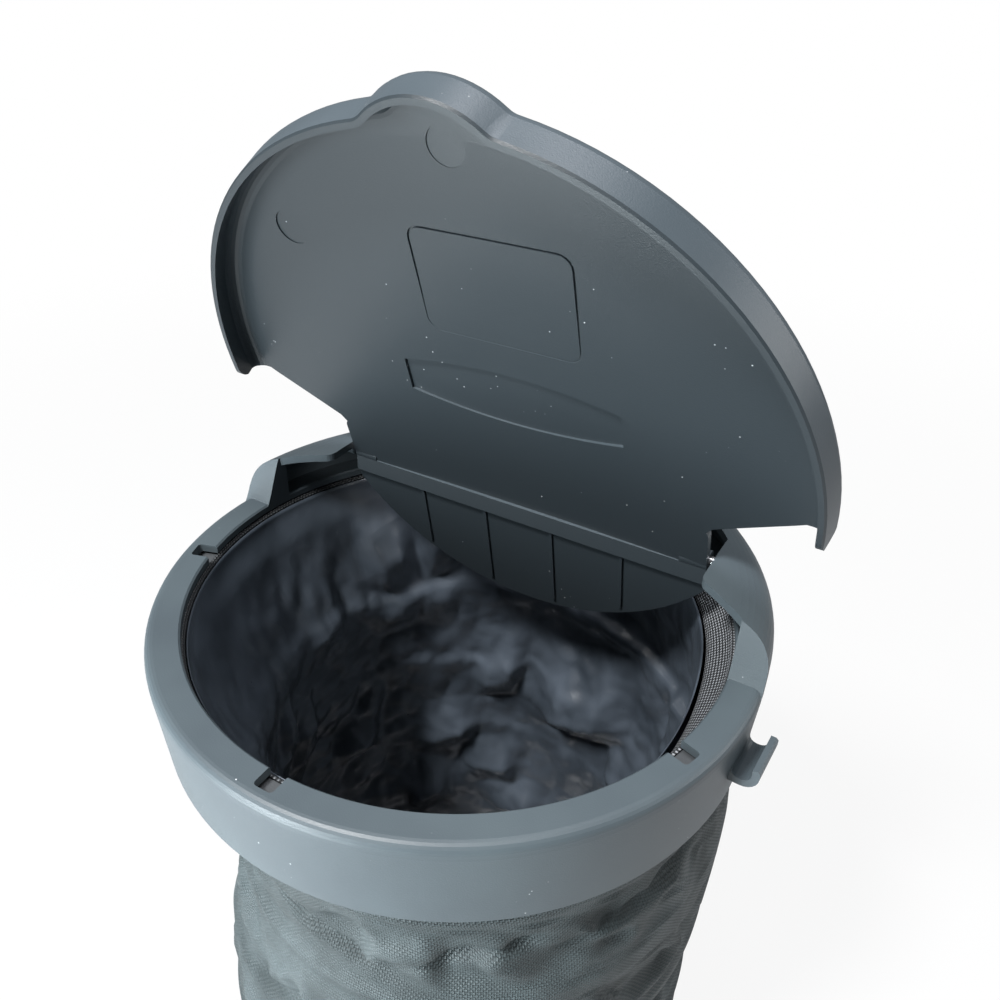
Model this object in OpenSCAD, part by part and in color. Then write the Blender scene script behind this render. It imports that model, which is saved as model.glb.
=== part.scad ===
// Collapsible car trash bin: a moulded mouth ring with a hinged lid stands on
// a cloth wall that a spiral spring wire holds open above a moulded base.
// Millimetres, +Z up. The origin is the centre of the base's underside, the
// lid's lift tab points to -Y and its hinge runs along X on the +Y side.

/* [Mouth ring] */
// Height of the ring's flat deck above the surface that the bin stands on
deck_z = 200; // [160:1:260]
// Outer radius of the ring at its shoulder
ring_r = 85.4; // [82:0.1:92]
// Width of the ring's flat deck, from its mouth to its outer edge
deck_w = 9.2; // [7.4:0.1:11]
// Height of the ring from its deck to its lower edge
ring_h = 27; // [24:0.5:32]
// How far the skirt leans in towards its lower edge
ring_taper = 1.4; // [0:0.1:2]
// Thickness of the skirt
ring_wall = 2.2; // [1.6:0.1:2.6]
// Thickness of the deck
deck_t = 2.4; // [1.8:0.1:3]
// Rounding of the deck's outer edge
deck_round = 2.4; // [1:0.1:2.8]
// Width of a notch that a bag's edge is tucked into
notch_w = 5.4; // [4:0.1:7]
// Depth of a notch, out from the mouth
notch_depth = 5.6; // [4:0.1:6]
// Angle from one notch to the next
notch_step = 72; // [50:1:80]

/* [Side hooks] */
// Angle of the hooks in front of the bin's side
hook_turn = 3; // [0:0.5:12]
// Width of a hook along the ring
hook_w = 13.5; // [8:0.5:20]
// How far a hook reaches out from the ring
hook_reach = 7; // [6:0.1:9]
// Thickness of a hook
hook_t = 2; // [1.4:0.1:2.4]
// Depth of a hook's underside below the deck
hook_drop = 17; // [15:0.5:21]
// Height of a hook from its underside to the tip of its lip
hook_h = 6.6; // [6:0.1:9]

/* [Hinge ears] */
// Height of the raised rear of the ring above its deck
ear_h = 15.5; // [15.4:0.1:18]
// Width of an ear, in from the ring's outer edge
ear_w = 24; // [22.4:0.1:25]
// Where the front edge of an ear leaves that inner face
ear_front_y = 19.5; // [16:0.5:22]
// Slope of an ear's front edge as seen from above, in degrees
ear_slope = 30; // [20:1:38]
// Where the outer part of that edge runs straight out over the deck
ear_flat_y = 11; // [10.8:0.1:14]
// Length of the curved ramp from the deck up to an ear
ear_ramp = 9; // [6:0.5:11]
// Thickness of an ear's shell
ear_wall = 2.4; // [1.8:0.1:3]

/* [Lid] */
// How far the lid's edge stands out beyond the ring
lid_over = 5.2; // [4.6:0.1:8]
// How far the lid's skirt leans in towards its lower edge
lid_taper = 1.1; // [0:0.1:1.4]
// How far the lid's middle lies in front of the ring's
lid_shift = 1.1; // [0:0.1:2]
// Thickness of the lid's skirt
lid_wall = 1.9; // [1.6:0.1:2.4]
// Thickness of the lid's panel
lid_t = 2.3; // [1.8:0.1:2.6]
// Height of the panel's underside above the deck when the lid is shut
panel_z = 9.1; // [8.6:0.1:9.6]
// Rise of the panel at its middle
lid_crown = 1.6; // [0:0.1:3]
// Rounding of the lid's upper edge
lid_round = 3.8; // [2:0.1:4.2]
// Angle that the lid stands open at rest
lid_open = 71.6; // [0:0.2:88]
// Distance of the hinge axis behind the bin's middle
hinge_y = 33.4; // [30:0.1:36]
// Height of the hinge axis above the deck
hinge_z = 12.4; // [12:0.1:12.4]
// Radius of the lift tab's round front
tab_r = 24; // [20:0.5:30]
// How far the lift tab stands out from the lid's edge
tab_reach = 5; // [4.6:0.1:5.4]
// Radius of the hollow blends between the tab and the lid's edge
tab_blend = 5; // [3:0.5:8]
// Gap between the rear flap's edge and the ring's mouth
flap_gap = 2.7; // [2.2:0.1:8]
// Angle that the rear flap is bent down from the panel
flap_bend = 7; // [0:0.5:10]
// Thickness of the rear flap
flap_t = 2; // [1.6:0.1:2.4]
// Distance between the ribs on the rear flap
rib_step = 23; // [14:0.5:26]

/* [Hinge pins] */
// Radius of a hinge pin
pin_r = 1.5; // [1:0.05:1.6]
// Radius of the lid's knuckles around the pins
knuckle_r = 3; // [2.8:0.05:3]
// Length of a knuckle
knuckle_w = 8; // [5:0.5:12]
// Running clearance round a pin in its knuckle
pin_gap = 0.05; // [0.02:0.01:0.09]
// Gap between the lid and each ear
side_gap = 1.6; // [1:0.1:2.4]

/* [Clamp ring and screws] */
// Thickness of the ring that clamps the cloth under the deck
clamp_t = 3; // [2:0.1:4]
// Number of screws that hold it
clamp_screws_n = 6; // [4:1:8]
// Radius of a screw's thread
screw_r = 1.1; // [0.8:0.05:1.3]
// Radius of a screw's head
screw_head_r = 2.2; // [1.8:0.05:2.4]
// Length of a screw under its head
screw_l = 6.4; // [5:0.1:7.4]

/* [Cloth wall] */
// How far the outer cloth hangs inside the ring's outer edge
cloth_in = 6.8; // [5.6:0.1:7.2]
// Thickness of the outer cloth
cloth_t = 0.6; // [0.4:0.05:0.8]
// How far the cloth stands out over the spring wire
ridge_out = 1.6; // [0:0.1:2.4]
// Depth of the cloth's soft folds
fold_out = 1.1; // [0:0.1:1.8]
// How far the soft body bows to the right at half its height
bow = 4; // [0:0.5:5]
// Thickness of the lining
lining_t = 0.5; // [0.3:0.05:0.6]
// Depth of the woven hem tape below the deck
tape_h = 15; // [10:0.5:20]

/* [Spring wire] */
// How far the middle of the wire lies inside the cloth's face
coil_in = 2; // [1.6:0.1:2.4]
// Radius of the wire
wire_r = 0.9; // [0.6:0.05:1]
// Number of turns in the spiral
coil_turns = 4.5; // [3:0.25:6]

/* [Base] */
// How far the base's edge stands in from the ring's
base_step = 2; // [0:0.1:2.6]
// Height of the shoulder that the ring comes down on
shoulder_h = 12; // [8:0.5:14]
// Height of the base's upper rim
base_h = 20; // [17:0.5:24]
// Thickness of the base's floor and wall
base_wall = 2; // [1.6:0.1:2.2]
// Thickness of the board that clamps the cloth in the base
board_t = 2.4; // [1.8:0.1:3]
// Number of screws that hold the board
base_screws_n = 4; // [3:1:8]

/* [Hidden] */

$fn = 96;
seat_gap = 0.3;
cut = 1;
shell_colour = [0.27, 0.31, 0.33];
cloth_colour = [0.20, 0.23, 0.22];

// Ring
mouth_r = ring_r - deck_w;
ear_x = ring_r - ear_w;
skirt_foot_r = ring_r - ring_taper;
skirt_in_r = ring_r - ring_wall;
skirt_foot_in_r = skirt_foot_r - ring_wall;
root_z = 0.2 - deck_t;
deck_under = deck_z - deck_t;
ring_foot_z = deck_z - ring_h;
notch_round = 1;
notch_angles = [-90 - notch_step, -90, -90 + notch_step];

// Hinge
axis_z = deck_z + hinge_z;
lid_half = ear_x - side_gap;
flap_r = mouth_r - flap_gap;
ear_power = 3;
ear_span = ring_r - ear_x;
boss_r = ear_h - hinge_z - 0.4;
boss_l = 8;
pin_in = lid_half - knuckle_w + 1;
pin_out = ear_x + boss_l - 1;
hood_r = flap_r + side_gap;

// Lid, in its shut place above the deck
lid_r = ring_r + lid_over;
lid_foot = 0.4;
lid_in_r = lid_r - lid_wall;
lid_top = panel_z + lid_t;
bend_y = hinge_y + 5.4;
cut_gap = 3.6;
corner_r = 4;
horn_y = 3;
horn_round = 5;
bar_w = 5;
rim_depth = 9;
rim_in_r = lid_r - rim_depth;
fillet = 3.2;
tab_c = lid_r + tab_reach - tab_r;
blend_far = lid_r + tab_blend;
tab_leave = acos((pow(tab_c, 2) + pow(blend_far, 2) - pow(tab_r + tab_blend, 2)) / (2 * tab_c * blend_far));
blend_c = blend_far * [sin(tab_leave), -cos(tab_leave)];
tab_turn = atan2(blend_c[0], -blend_c[1] - tab_c);

// Clamp ring, its screws and the tape
cloth_r = ring_r - cloth_in;
coil_r = cloth_r - coil_in;
tape_t = 0.5;
clamp_top = deck_under - 2 * seat_gap - tape_t;
clamp_foot = clamp_top - clamp_t;
clamp_in_r = mouth_r + 0.4;
clamp_out_r = skirt_foot_in_r - 0.6;
screw_ring_r = (clamp_in_r + clamp_out_r) / 2 + 0.5;
screw_head_h = 1.4;
screw_gap = 0.2;
boss_pitch_r = 2.4;
tape_r = mouth_r - 0.4;
tape_foot = deck_z - tape_h;
tape_flange_r = screw_ring_r - boss_pitch_r - seat_gap;

// Base
base_r = ring_r - base_step;
base_in_r = cloth_r + cloth_t / 2 + 0.4;
base_rim_r = base_in_r + base_wall;
board_r = coil_r - wire_r - 1.4;
board_screw_r = board_r - 14;
hem_in_r = board_r - 8;
board_z = base_wall + cloth_t + 2 * seat_gap;
board_top = board_z + board_t;
collapse_travel = ring_foot_z - shoulder_h - seat_gap;

// Cloth, lining and wire
cloth_top = clamp_foot - seat_gap;
cloth_foot = base_wall + seat_gap;
cloth_neck_r = tape_r + seat_gap + cloth_t;
lining_r = tape_r - tape_t - 1.6;
lining_foot = board_top + seat_gap;
lining_top = tape_foot + 6;
lining_fold = 1.6;
coil_low = board_top + wire_r + 3;
coil_high = ring_foot_z + 4;
coil_start = -132;
casing_r = coil_r - wire_r - 0.5;
casing_w = 12;
casing_t = 0.4;
tip_l = 9;
coil_steps = 40;
wire_sides = 6;

// Points on an arc about c, from angle a to angle b
function arc(c, r, a, b, n) =
    [for (i = [0:n]) c + r * [cos(a + (b - a) * i / n), sin(a + (b - a) * i / n)]];

// An S-shaped rise from 0 to 1 with level ends
function s_curve(t) = t * t * (3 - 2 * t);

// How far the soft body's middle lies to the right at height z
function bow_x(z) =
    bow * pow(sin(180 * min(1, max(0, (z - base_h) / (cloth_top - base_h)))), 2);

// A closed solid between an outer and an inner grid of points with the same
// rows, each row one closed loop; with a floor the first rows are filled in
module wall_between(outer, inner, floor) {
    rows = len(outer);
    n = len(outer[0]);
    step = rows * n;
    top = (rows - 1) * n;
    foot = floor
        ? [[for (j = [0:n - 1]) j], [for (j = [n - 1:-1:0]) step + j]]
        : [for (j = [0:n - 1], k = [0, 1]) let (m = (j + 1) % n) k ? [j, step + m, step + j] : [j, m, step + m]];
    side = [for (i = [0:rows - 2], j = [0:n - 1], k = [0, 1])
        let (m = (j + 1) % n, a = i * n + j, b = i * n + m, c = a + n, d = b + n) k ? [a, d, b] : [a, c, d]];
    rim = [for (j = [0:n - 1], k = [0, 1])
        let (m = (j + 1) % n) k ? [top + j, step + top + m, top + m] : [top + j, step + top + j, step + top + m]];
    polyhedron(concat([for (row = outer, p = row) p], [for (row = inner, p = row) p]),
        concat(foot, side, rim, [for (f = side) [step + f[0], step + f[2], step + f[1]]]), convexity = 6);
}

// A section swept through a list of rings, closed at both ends
module sweep(rings) {
    n = len(rings[0]);
    last = (len(rings) - 1) * n;
    polyhedron([for (ring = rings, p = ring) p],
        concat([[for (j = [0:n - 1]) n - 1 - j]],
            [for (i = [0:len(rings) - 2], j = [0:n - 1])
                [i * n + j, i * n + (j + 1) % n, (i + 1) * n + (j + 1) % n, (i + 1) * n + j]],
            [[for (j = [0:n - 1]) last + j]]), convexity = 10);
}

// Angle and height of the spiral's centre line, t from 0 to 1
function coil_angle(t) = coil_start + 360 * coil_turns * t;
function coil_z(t) = coil_low + (coil_high - coil_low) * t;

// The lid's outline from above, behind its round front: rounded horns, slanting
// cuts that keep clear of the ears, then straight sides back to the flap
function front_line(x, gap) = ear_front_y - gap - (x - ear_x) * tan(ear_slope);
function lid_side() =
    let (horn_in = ear_x + (ear_front_y - cut_gap - horn_y) / tan(ear_slope),
         horn_c = [sqrt(pow(lid_r - corner_r, 2) - pow(horn_y - corner_r + lid_shift, 2)), horn_y - corner_r],
         horn_a = atan2(horn_c[1], horn_c[0]))
    concat([[2 * lid_r, 2 * lid_r * tan(horn_a)]],
        arc(horn_c, corner_r, horn_a, 90, 6),
        [[horn_in, horn_y], [lid_half + 1, front_line(lid_half + 1, cut_gap)]],
        arc([lid_half - corner_r, front_line(lid_half, cut_gap) + corner_r], corner_r, -35, 0, 5),
        [[lid_half, 2 * hinge_y]]);

module lid_plan() {
    side = lid_side();
    front = [[lid_r + 20, -lid_r - 20]];
    right = concat(front, side);
    left = [for (i = [len(right) - 1:-1:0]) [-right[i][0], right[i][1]]];
    polygon(concat(right, left));
}

// Section of the lid's rim, from the panel's underside round the skirt to its
// top, as distances in from the lid's edge and heights
rim_section = concat(
    arc([lid_wall + fillet, panel_z - fillet], fillet, 90, 180, 5),
    [[lid_wall + lid_taper, lid_foot], [0.5 + lid_taper, lid_foot], [lid_taper, lid_foot + 0.5]],
    arc([lid_round, lid_top - lid_round], lid_round, 180, 90, 6));

// The rim's section with flat panel in to x = end, for an edge of radius r; the
// side is -1 where the edge is hollow
module rim_outline(r, side, end) {
    polygon(concat([[end, panel_z]], [for (p = rim_section) [r - side * p[0], p[1]]], [[end, lid_top]]));
}

function crown_rise(r) = lid_crown * (1 - pow(r / rim_in_r, 2));

// The lid's round dish: a crowned panel with a skirt
module dish() {
    n = 4;
    rotate_extrude()
        polygon(concat(
            [for (i = [0:n]) [rim_in_r * i / n, panel_z + crown_rise(rim_in_r * i / n)]],
            [for (p = rim_section) [lid_r - p[0], p[1]]],
            [for (i = [n:-1:0]) [rim_in_r * i / n, lid_top + crown_rise(rim_in_r * i / n)]]));
}

// Upright wedge from the Z axis between two angles
module wedge(from, to) {
    far = lid_r * 2;
    translate([0, 0, -cut]) linear_extrude(lid_top + 3 * cut)
        polygon([[0, 0], far * [cos(from), sin(from)], far * [cos(to), sin(to)]]);
}

// Lift tab: the rim follows a tighter arc between two hollow blends
module tab() {
    difference() {
        union() {
            translate([0, -tab_c, 0]) intersection() {
                rotate_extrude() rim_outline(tab_r, 1, 0);
                wedge(-90 - tab_turn, -90 + tab_turn);
            }
            for (s = [0, 1])
                mirror([s, 0, 0]) translate(blend_c) intersection() {
                    rotate_extrude() rim_outline(tab_blend, -1, tab_blend + tab_r);
                    wedge(90 + tab_leave, 90 + tab_turn);
                }
        }
        translate([0, 0, -cut]) cylinder(r = rim_in_r + 0.6, h = lid_top + 2 * cut);
    }
}

// The stretch of plain rim that the tab takes the place of
module tab_room() {
    difference() {
        wedge(-90 - tab_leave, -90 + tab_leave);
        translate([0, 0, -2 * cut]) cylinder(r = rim_in_r + 1.8, h = lid_top + 5 * cut);
    }
}

// Puts what was drawn for the shut lid where the open lid stands
module opened() {
    translate([0, hinge_y, axis_z])
        rotate([-lid_open, 0, 0])
            translate([0, -hinge_y, -hinge_z])
                children();
}

// Rounds the lower corner of the skirt's two ends, drawn from the side
module horn_cut() {
    reach = lid_r - lid_half;
    corner = [horn_y - horn_round, lid_foot + horn_round];
    for (s = [-1, 1])
        translate([s > 0 ? lid_half + cut : -lid_r - cut, 0, 0])
            rotate([90, 0, 90])
                linear_extrude(reach)
                    polygon(concat([[corner[0], lid_foot - cut]], arc(corner, horn_round, -90, 0, 6),
                        [[horn_y + cut, corner[1]], [horn_y + cut, lid_foot - cut]]));
}

module knuckle(s, r, l) {
    x = s > 0 ? lid_half - l : -lid_half;
    translate([x, hinge_y, hinge_z]) rotate([0, 90, 0]) cylinder(r = r, h = l);
}

// Flap behind the hinge, bent down from the panel, with ribs under it
module flap() {
    rib_w = 1;
    rib_h = 0.7;
    overlap = 1.2;
    translate([0, bend_y, panel_z]) rotate([-flap_bend, 0, 0]) {
        intersection() {
            translate([-lid_half, -overlap, 0]) cube([2 * lid_half, 2 * flap_r, flap_t]);
            translate([0, -bend_y, -cut]) cylinder(r = flap_r, h = flap_t + 2 * cut);
        }
        for (i = [-1.5:1:1.5])
            translate([i * rib_step - rib_w / 2, 0, -rib_h])
                cube([rib_w, sqrt(pow(flap_r, 2) - pow(i * rib_step, 2)) - bend_y - 3, rib_h + 0.3]);
    }
}

// Shallow marks in the panel's underside: an arched recess, the outline of a
// rounded plate and two round marks near the front, placed by shares of the lid
module panel_marks() {
    recess = [65, 17.6];
    recess_at = lid_r * [0.039, -0.106];
    recess_r = 155;
    recess_d = 0.8;
    line_w = 0.6;
    line_d = 0.35;
    plate = [44, 31];
    plate_round = 4;
    plate_at = lid_r * [0.05, -0.486];
    dot_r = 4.8;
    dot_d = 0.3;
    translate([recess_at[0], recess_at[1], panel_z])
        linear_extrude(crown_rise(30) + recess_d)
            intersection() {
                square(recess, center = true);
                translate([0, recess_r - recess[1] / 2]) circle(r = recess_r, $fn = 240);
                translate([0, recess[1] / 2 - recess_r]) circle(r = recess_r, $fn = 240);
            }
    translate([plate_at[0], plate_at[1], panel_z]) linear_extrude(crown_rise(45) + line_d)
        difference() {
            rounded(plate[0], plate[1], plate_round);
            rounded(plate[0] - 2 * line_w, plate[1] - 2 * line_w, plate_round - line_w);
        }
    for (at = [lid_r * [-0.594, -0.575], lid_r * [-0.011, -0.892]])
        translate([at[0], at[1], panel_z - cut]) cylinder(r = dot_r, h = cut + max(0, crown_rise(norm(at))) + dot_d);
}

// Rectangle with rounded corners about the origin
module rounded(w, d, r) {
    polygon(concat(arc([w / 2 - r, d / 2 - r], r, 0, 90, 5), arc([r - w / 2, d / 2 - r], r, 90, 180, 5),
        arc([r - w / 2, r - d / 2], r, 180, 270, 5), arc([w / 2 - r, r - d / 2], r, 270, 360, 5)));
}

module lid() {
    color(shell_colour) opened()
        difference() {
            union() {
                intersection() {
                    translate([0, -lid_shift, 0]) union() {
                        difference() {
                            dish();
                            tab_room();
                        }
                        tab();
                    }
                    translate([0, 0, -cut]) linear_extrude(lid_top + lid_crown + 2 * cut) lid_plan();
                    translate([-lid_r - 20, -lid_r - 20, -cut])
                        cube([2 * lid_r + 40, lid_r + 20 + bend_y, lid_top + lid_crown + 2 * cut]);
                }
                hinge_bar();
                flap();
                for (s = [-1, 1]) knuckle(s, knuckle_r, knuckle_w);
            }
            horn_cut();
            panel_marks();
            for (s = [-1, 1])
                translate([s * (lid_half - knuckle_w / 2) - knuckle_w / 2 - cut, hinge_y, hinge_z])
                    rotate([0, 90, 0]) cylinder(r = pin_r + pin_gap, h = knuckle_w + 2 * cut);
        }
}

// Wedge under the panel that stiffens it along the hinge
module hinge_bar() {
    drop = 1.3;
    back = 1.6;
    translate([-lid_half, 0, 0])
        rotate([90, 0, 90])
            linear_extrude(2 * lid_half)
                polygon([[bend_y - bar_w, panel_z + 0.4], [bend_y, panel_z - drop],
                         [bend_y + back, panel_z - 0.2], [bend_y + back, lid_top + 0.9],
                         [bend_y - bar_w, lid_top + 0.9]]);
}

// Section of the ring's raised rear: a crown that falls to the outer wall
function crown_points(inset) =
    [for (i = [0:14]) let (a = 90 * i / 14)
        [ear_x + (ear_span - inset) * pow(sin(a), 2 / ear_power),
         (ear_h - inset) * pow(cos(a), 2 / ear_power)]];
module crown(inset, low) {
    rotate_extrude()
        polygon(concat([[ear_x / 2, low], [ear_x / 2, ear_h - inset]], crown_points(inset),
            [[ring_r - inset, low]]));
}

// Both ears and the band behind the flap, seen from above
module ear_plan() {
    far = ring_r + 20;
    m = tan(ear_slope);
    bend_x = ear_x + (ear_front_y - ear_flat_y) / m;
    turn = corner_r * tan(ear_slope / 2);
    side = concat([[far, ear_flat_y]],
        arc([bend_x + turn, ear_flat_y + corner_r], corner_r, 270, 270 - ear_slope, 3),
        arc([ear_x + corner_r, ear_front_y + corner_r * 0.7], corner_r, 240, 180, 5),
        [[ear_x, ear_x * 2]]);
    for (s = [-1, 1])
        polygon([for (p = concat(side, [[far, ear_x * 2]])) [s * p[0], p[1]]]);
    difference() {
        translate([-ear_x - cut, hinge_y]) square([2 * (ear_x + cut), 2 * ear_x]);
        translate([-lid_r, 0]) square([2 * lid_r, hinge_y + 1]);
        circle(r = hood_r);
    }
}

module ear_canopy() {
    difference() {
        intersection() {
            crown(0, root_z);
            translate([0, 0, root_z - cut]) linear_extrude(ear_h * 2) ear_plan();
        }
        crown(ear_wall, root_z - cut);
    }
}

// Ramp that rises in an S from the deck to the front edge of an ear
function ramp_rise(t) = 0.5 * s_curve(t) + 0.5 * pow(t, 2);
module ear_ramp_form() {
    n = 10;
    top = ear_h * 0.95;
    foot = -deck_round - 0.2;
    difference() {
        intersection() {
            crown(0, root_z);
            translate([ear_x, ear_flat_y, 0])
                rotate([90, 0, 90])
                    linear_extrude(ear_w + cut)
                        polygon(concat([[ear_wall, foot - cut], [ear_wall, top]],
                            [for (i = [n:-1:0]) [ear_ramp * (i / n - 1), foot + (top - foot) * ramp_rise(i / n)]],
                            [[-ear_ramp, foot - cut]]));
        }
        translate([0, 0, -cut - deck_t]) cylinder(r = mouth_r, h = ear_h * 2);
    }
}

module ring_section() {
    polygon(concat(
        [[mouth_r, -deck_t], [mouth_r, -0.5], [mouth_r + 0.5, 0]],
        arc([ring_r - deck_round, -deck_round], deck_round, 90, 0, 5),
        [[ring_r, -deck_round - 1.5], [skirt_foot_r, -ring_h], [skirt_foot_r - ring_wall, -ring_h],
         [skirt_in_r, -deck_t - 2], [skirt_in_r - 2, -deck_t]]));
}

// One upward-opening hook, drawn at the bin's right side
module hook() {
    root = -2;
    bend_r = 4.4;
    bend_c = [hook_reach - bend_r, bend_r];
    heel = 2;
    blunt = 0.6;
    translate([ring_r - ring_taper / 2, hook_w / 2, -hook_drop])
        rotate([90, 0, 0])
            linear_extrude(hook_w)
                polygon(concat([[root, 0]], arc(bend_c, bend_r, -90, 0, 6),
                    [[hook_reach, hook_h - blunt], [hook_reach - blunt, hook_h], [hook_reach - hook_t, hook_h]],
                    arc(bend_c, bend_r - hook_t, 0, -90, 5),
                    arc([heel, hook_t + heel], heel, -90, -180, 4),
                    [[0, hook_h - 1], [root, hook_h + 1]]));
}

module notch() {
    far = mouth_r + notch_depth - notch_round;
    w = notch_w / 2 - notch_round;
    translate([0, 0, -deck_t - cut])
        linear_extrude(deck_t + 2 * cut)
            polygon(concat([[mouth_r - 4, -notch_w / 2]],
                arc([far, -w], notch_round, -90, 0, 4), arc([far, w], notch_round, 0, 90, 4),
                [[mouth_r - 4, notch_w / 2]]));
}

module screw_bosses() {
    for (i = [0:clamp_screws_n - 1])
        rotate([0, 0, i * 360 / clamp_screws_n])
            translate([screw_ring_r, 0, clamp_top - deck_z])
                cylinder(r = boss_pitch_r, h = deck_under - clamp_top + 0.5);
}

module screw_holes(r, low, high) {
    for (i = [0:clamp_screws_n - 1])
        rotate([0, 0, i * 360 / clamp_screws_n])
            translate([screw_ring_r, 0, low]) cylinder(r = r, h = high - low);
}

module top_ring() {
    color(shell_colour) translate([0, 0, deck_z]) difference() {
        union() {
            rotate_extrude() ring_section();
            ear_canopy();
            for (s = [0, 1]) mirror([s, 0, 0]) {
                ear_ramp_form();
                intersection() {
                    translate([ear_x, hinge_y, hinge_z]) rotate([0, 90, 0]) cylinder(r = boss_r, h = boss_l);
                    crown(0, 0);
                }
                rotate([0, 0, -hook_turn]) hook();
            }
            screw_bosses();
        }
        for (a = notch_angles) rotate([0, 0, a]) notch();
        for (s = [0, 1])
            mirror([s, 0, 0])
                translate([ear_x - cut, hinge_y, hinge_z]) rotate([0, 90, 0])
                    cylinder(r = pin_r, h = pin_out - ear_x + cut);
        screw_holes(screw_r, clamp_top - deck_z - cut, -0.8);
    }
}

module hinge_pin(s) {
    color("silver") translate([s > 0 ? pin_in : -pin_out, hinge_y, axis_z])
        rotate([0, 90, 0]) cylinder(r = pin_r, h = pin_out - pin_in);
}
module hinge_pin_left() { hinge_pin(-1); }
module hinge_pin_right() { hinge_pin(1); }

module clamp_ring() {
    color(shell_colour) difference() {
        translate([0, 0, clamp_foot])
            rotate_extrude()
                translate([clamp_in_r, 0]) square([clamp_out_r - clamp_in_r, clamp_t]);
        screw_holes(screw_r + screw_gap, clamp_foot - cut, clamp_top + cut);
    }
}

module clamp_screws() {
    color("dimgray")
        for (i = [0:clamp_screws_n - 1])
            rotate([0, 0, i * 360 / clamp_screws_n])
                translate([screw_ring_r, 0, clamp_foot]) screw();
}

module screw() {
    cylinder(r = screw_r, h = screw_l);
    translate([0, 0, -screw_head_h])
        difference() {
            cylinder(r = screw_head_r, h = screw_head_h);
            for (a = [0, 90])
                rotate([0, 0, a]) translate([-1.2, -0.25, -cut]) cube([2.4, 0.5, cut + 0.7]);
        }
}

module hem_tape() {
    color("darkslategray")
        rotate_extrude()
            polygon([[tape_r - tape_t, tape_foot], [tape_r, tape_foot],
                     [tape_r, deck_under - seat_gap - tape_t], [tape_flange_r, deck_under - seat_gap - tape_t],
                     [tape_flange_r, deck_under - seat_gap], [tape_r - tape_t, deck_under - seat_gap]]);
}

// Outer cloth: stands out over the wire's spiral and folds softly between
cloth_n = 60;
cloth_rows = 30;
function over_wire(a, z) =
    let (t = (z - coil_low) / (coil_high - coil_low),
         turn = t * coil_turns - (a - coil_start) / 360,
         off = abs(turn - round(turn)) * (coil_high - coil_low) / coil_turns)
    (t < -0.02 || t > 1.02) ? 0 : exp(-pow(off / 6, 2));
function cloth_at(a, z) =
    let (ends = min(1, max(0, (z - base_h) / 20)) * min(1, max(0, (tape_foot - z) / 20)),
         neck = s_curve(min(1, max(0, (z - tape_foot + 3) / (cloth_top - tape_foot)))))
    cloth_r - neck * (cloth_r - cloth_neck_r) + ends * (ridge_out * over_wire(a, z)
        + fold_out * (0.5 + 0.5 * sin(3 * a + 5 * z)) * (1 - over_wire(a, z)));
// One row of the cloth, a given depth under its face
function cloth_row(z, depth) =
    [for (j = [0:cloth_n - 1]) let (a = 360 * j / cloth_n, r = cloth_at(a, z) - depth)
        [bow_x(z) + r * cos(a), r * sin(a), z]];
function flat_row(n, r, z) = [for (j = [0:n - 1]) [r * cos(360 * j / n), r * sin(360 * j / n), z]];
module outer_cloth() {
    zs = [for (i = [0:cloth_rows]) cloth_foot + (cloth_top - cloth_foot) * i / cloth_rows];
    hem = cloth_foot + cloth_t;
    color(cloth_colour)
        wall_between(
            concat([flat_row(cloth_n, hem_in_r, cloth_foot)], [for (z = zs) cloth_row(z, 0)]),
            concat([flat_row(cloth_n, hem_in_r, hem)], [for (z = zs) cloth_row(max(z, hem), cloth_t)]), false);
}

// Fabric strip that holds the wire to the inside of the outer cloth
module wire_casing() {
    steps = round(coil_turns * coil_steps);
    color(cloth_colour)
        sweep([for (i = [0:steps]) let (t = i / steps, a = coil_angle(t), z = coil_z(t), u = [cos(a), sin(a)])
            [for (c = [[casing_t, -1], [0, -1], [0, 1], [casing_t, 1]])
                let (h = z + c[1] * casing_w / 2, r = casing_r - c[0])
                [bow_x(h) + r * u[0], r * u[1], h]]]);
}

// A round tube along the spiral between two shares of its length
module coil_tube(from, to, steps) {
    sweep([for (i = [0:steps]) let (t = from + (to - from) * i / steps, a = coil_angle(t), z = coil_z(t))
        [for (j = [0:wire_sides - 1]) let (b = -360 * j / wire_sides, d = coil_r + wire_r * cos(b))
            [bow_x(z) + d * cos(a), d * sin(a), z + wire_r * sin(b)]]]);
}

tip_share = tip_l / (2 * PI * coil_r * coil_turns);
module spring_wire() {
    color("gainsboro") coil_tube(tip_share, 1 - tip_share, round(coil_turns * coil_steps));
}

module wire_tips() {
    color("dimgray") {
        coil_tube(0, tip_share, 2);
        coil_tube(1 - tip_share, 1, 2);
    }
}

// Lining: a bag of thin coated film inside the wire, with soft upright folds
lining_n = 48;
lining_rows = 16;
function lining_at(a, z) =
    let (s = (z - lining_foot) / (lining_top - lining_foot), ends = min(1, 6 * s) * min(1, 6 * (1 - s)))
    lining_r - lining_fold * ends * (0.5 + 0.3 * sin(5 * a + 200 * s) + 0.2 * sin(9 * a - 300 * s));
function lining_row(z, depth) =
    [for (j = [0:lining_n - 1]) let (a = 360 * j / lining_n, r = lining_at(a, z) - depth)
        [bow_x(z) + r * cos(a), r * sin(a), z]];
module lining() {
    zs = [for (i = [0:lining_rows]) lining_foot + (lining_top - lining_foot) * i / lining_rows];
    color([0.10, 0.11, 0.12])
        wall_between([for (z = zs) lining_row(z, 0)],
            [for (z = zs) lining_row(max(z, lining_foot + lining_t), lining_t)], true);
}

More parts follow.
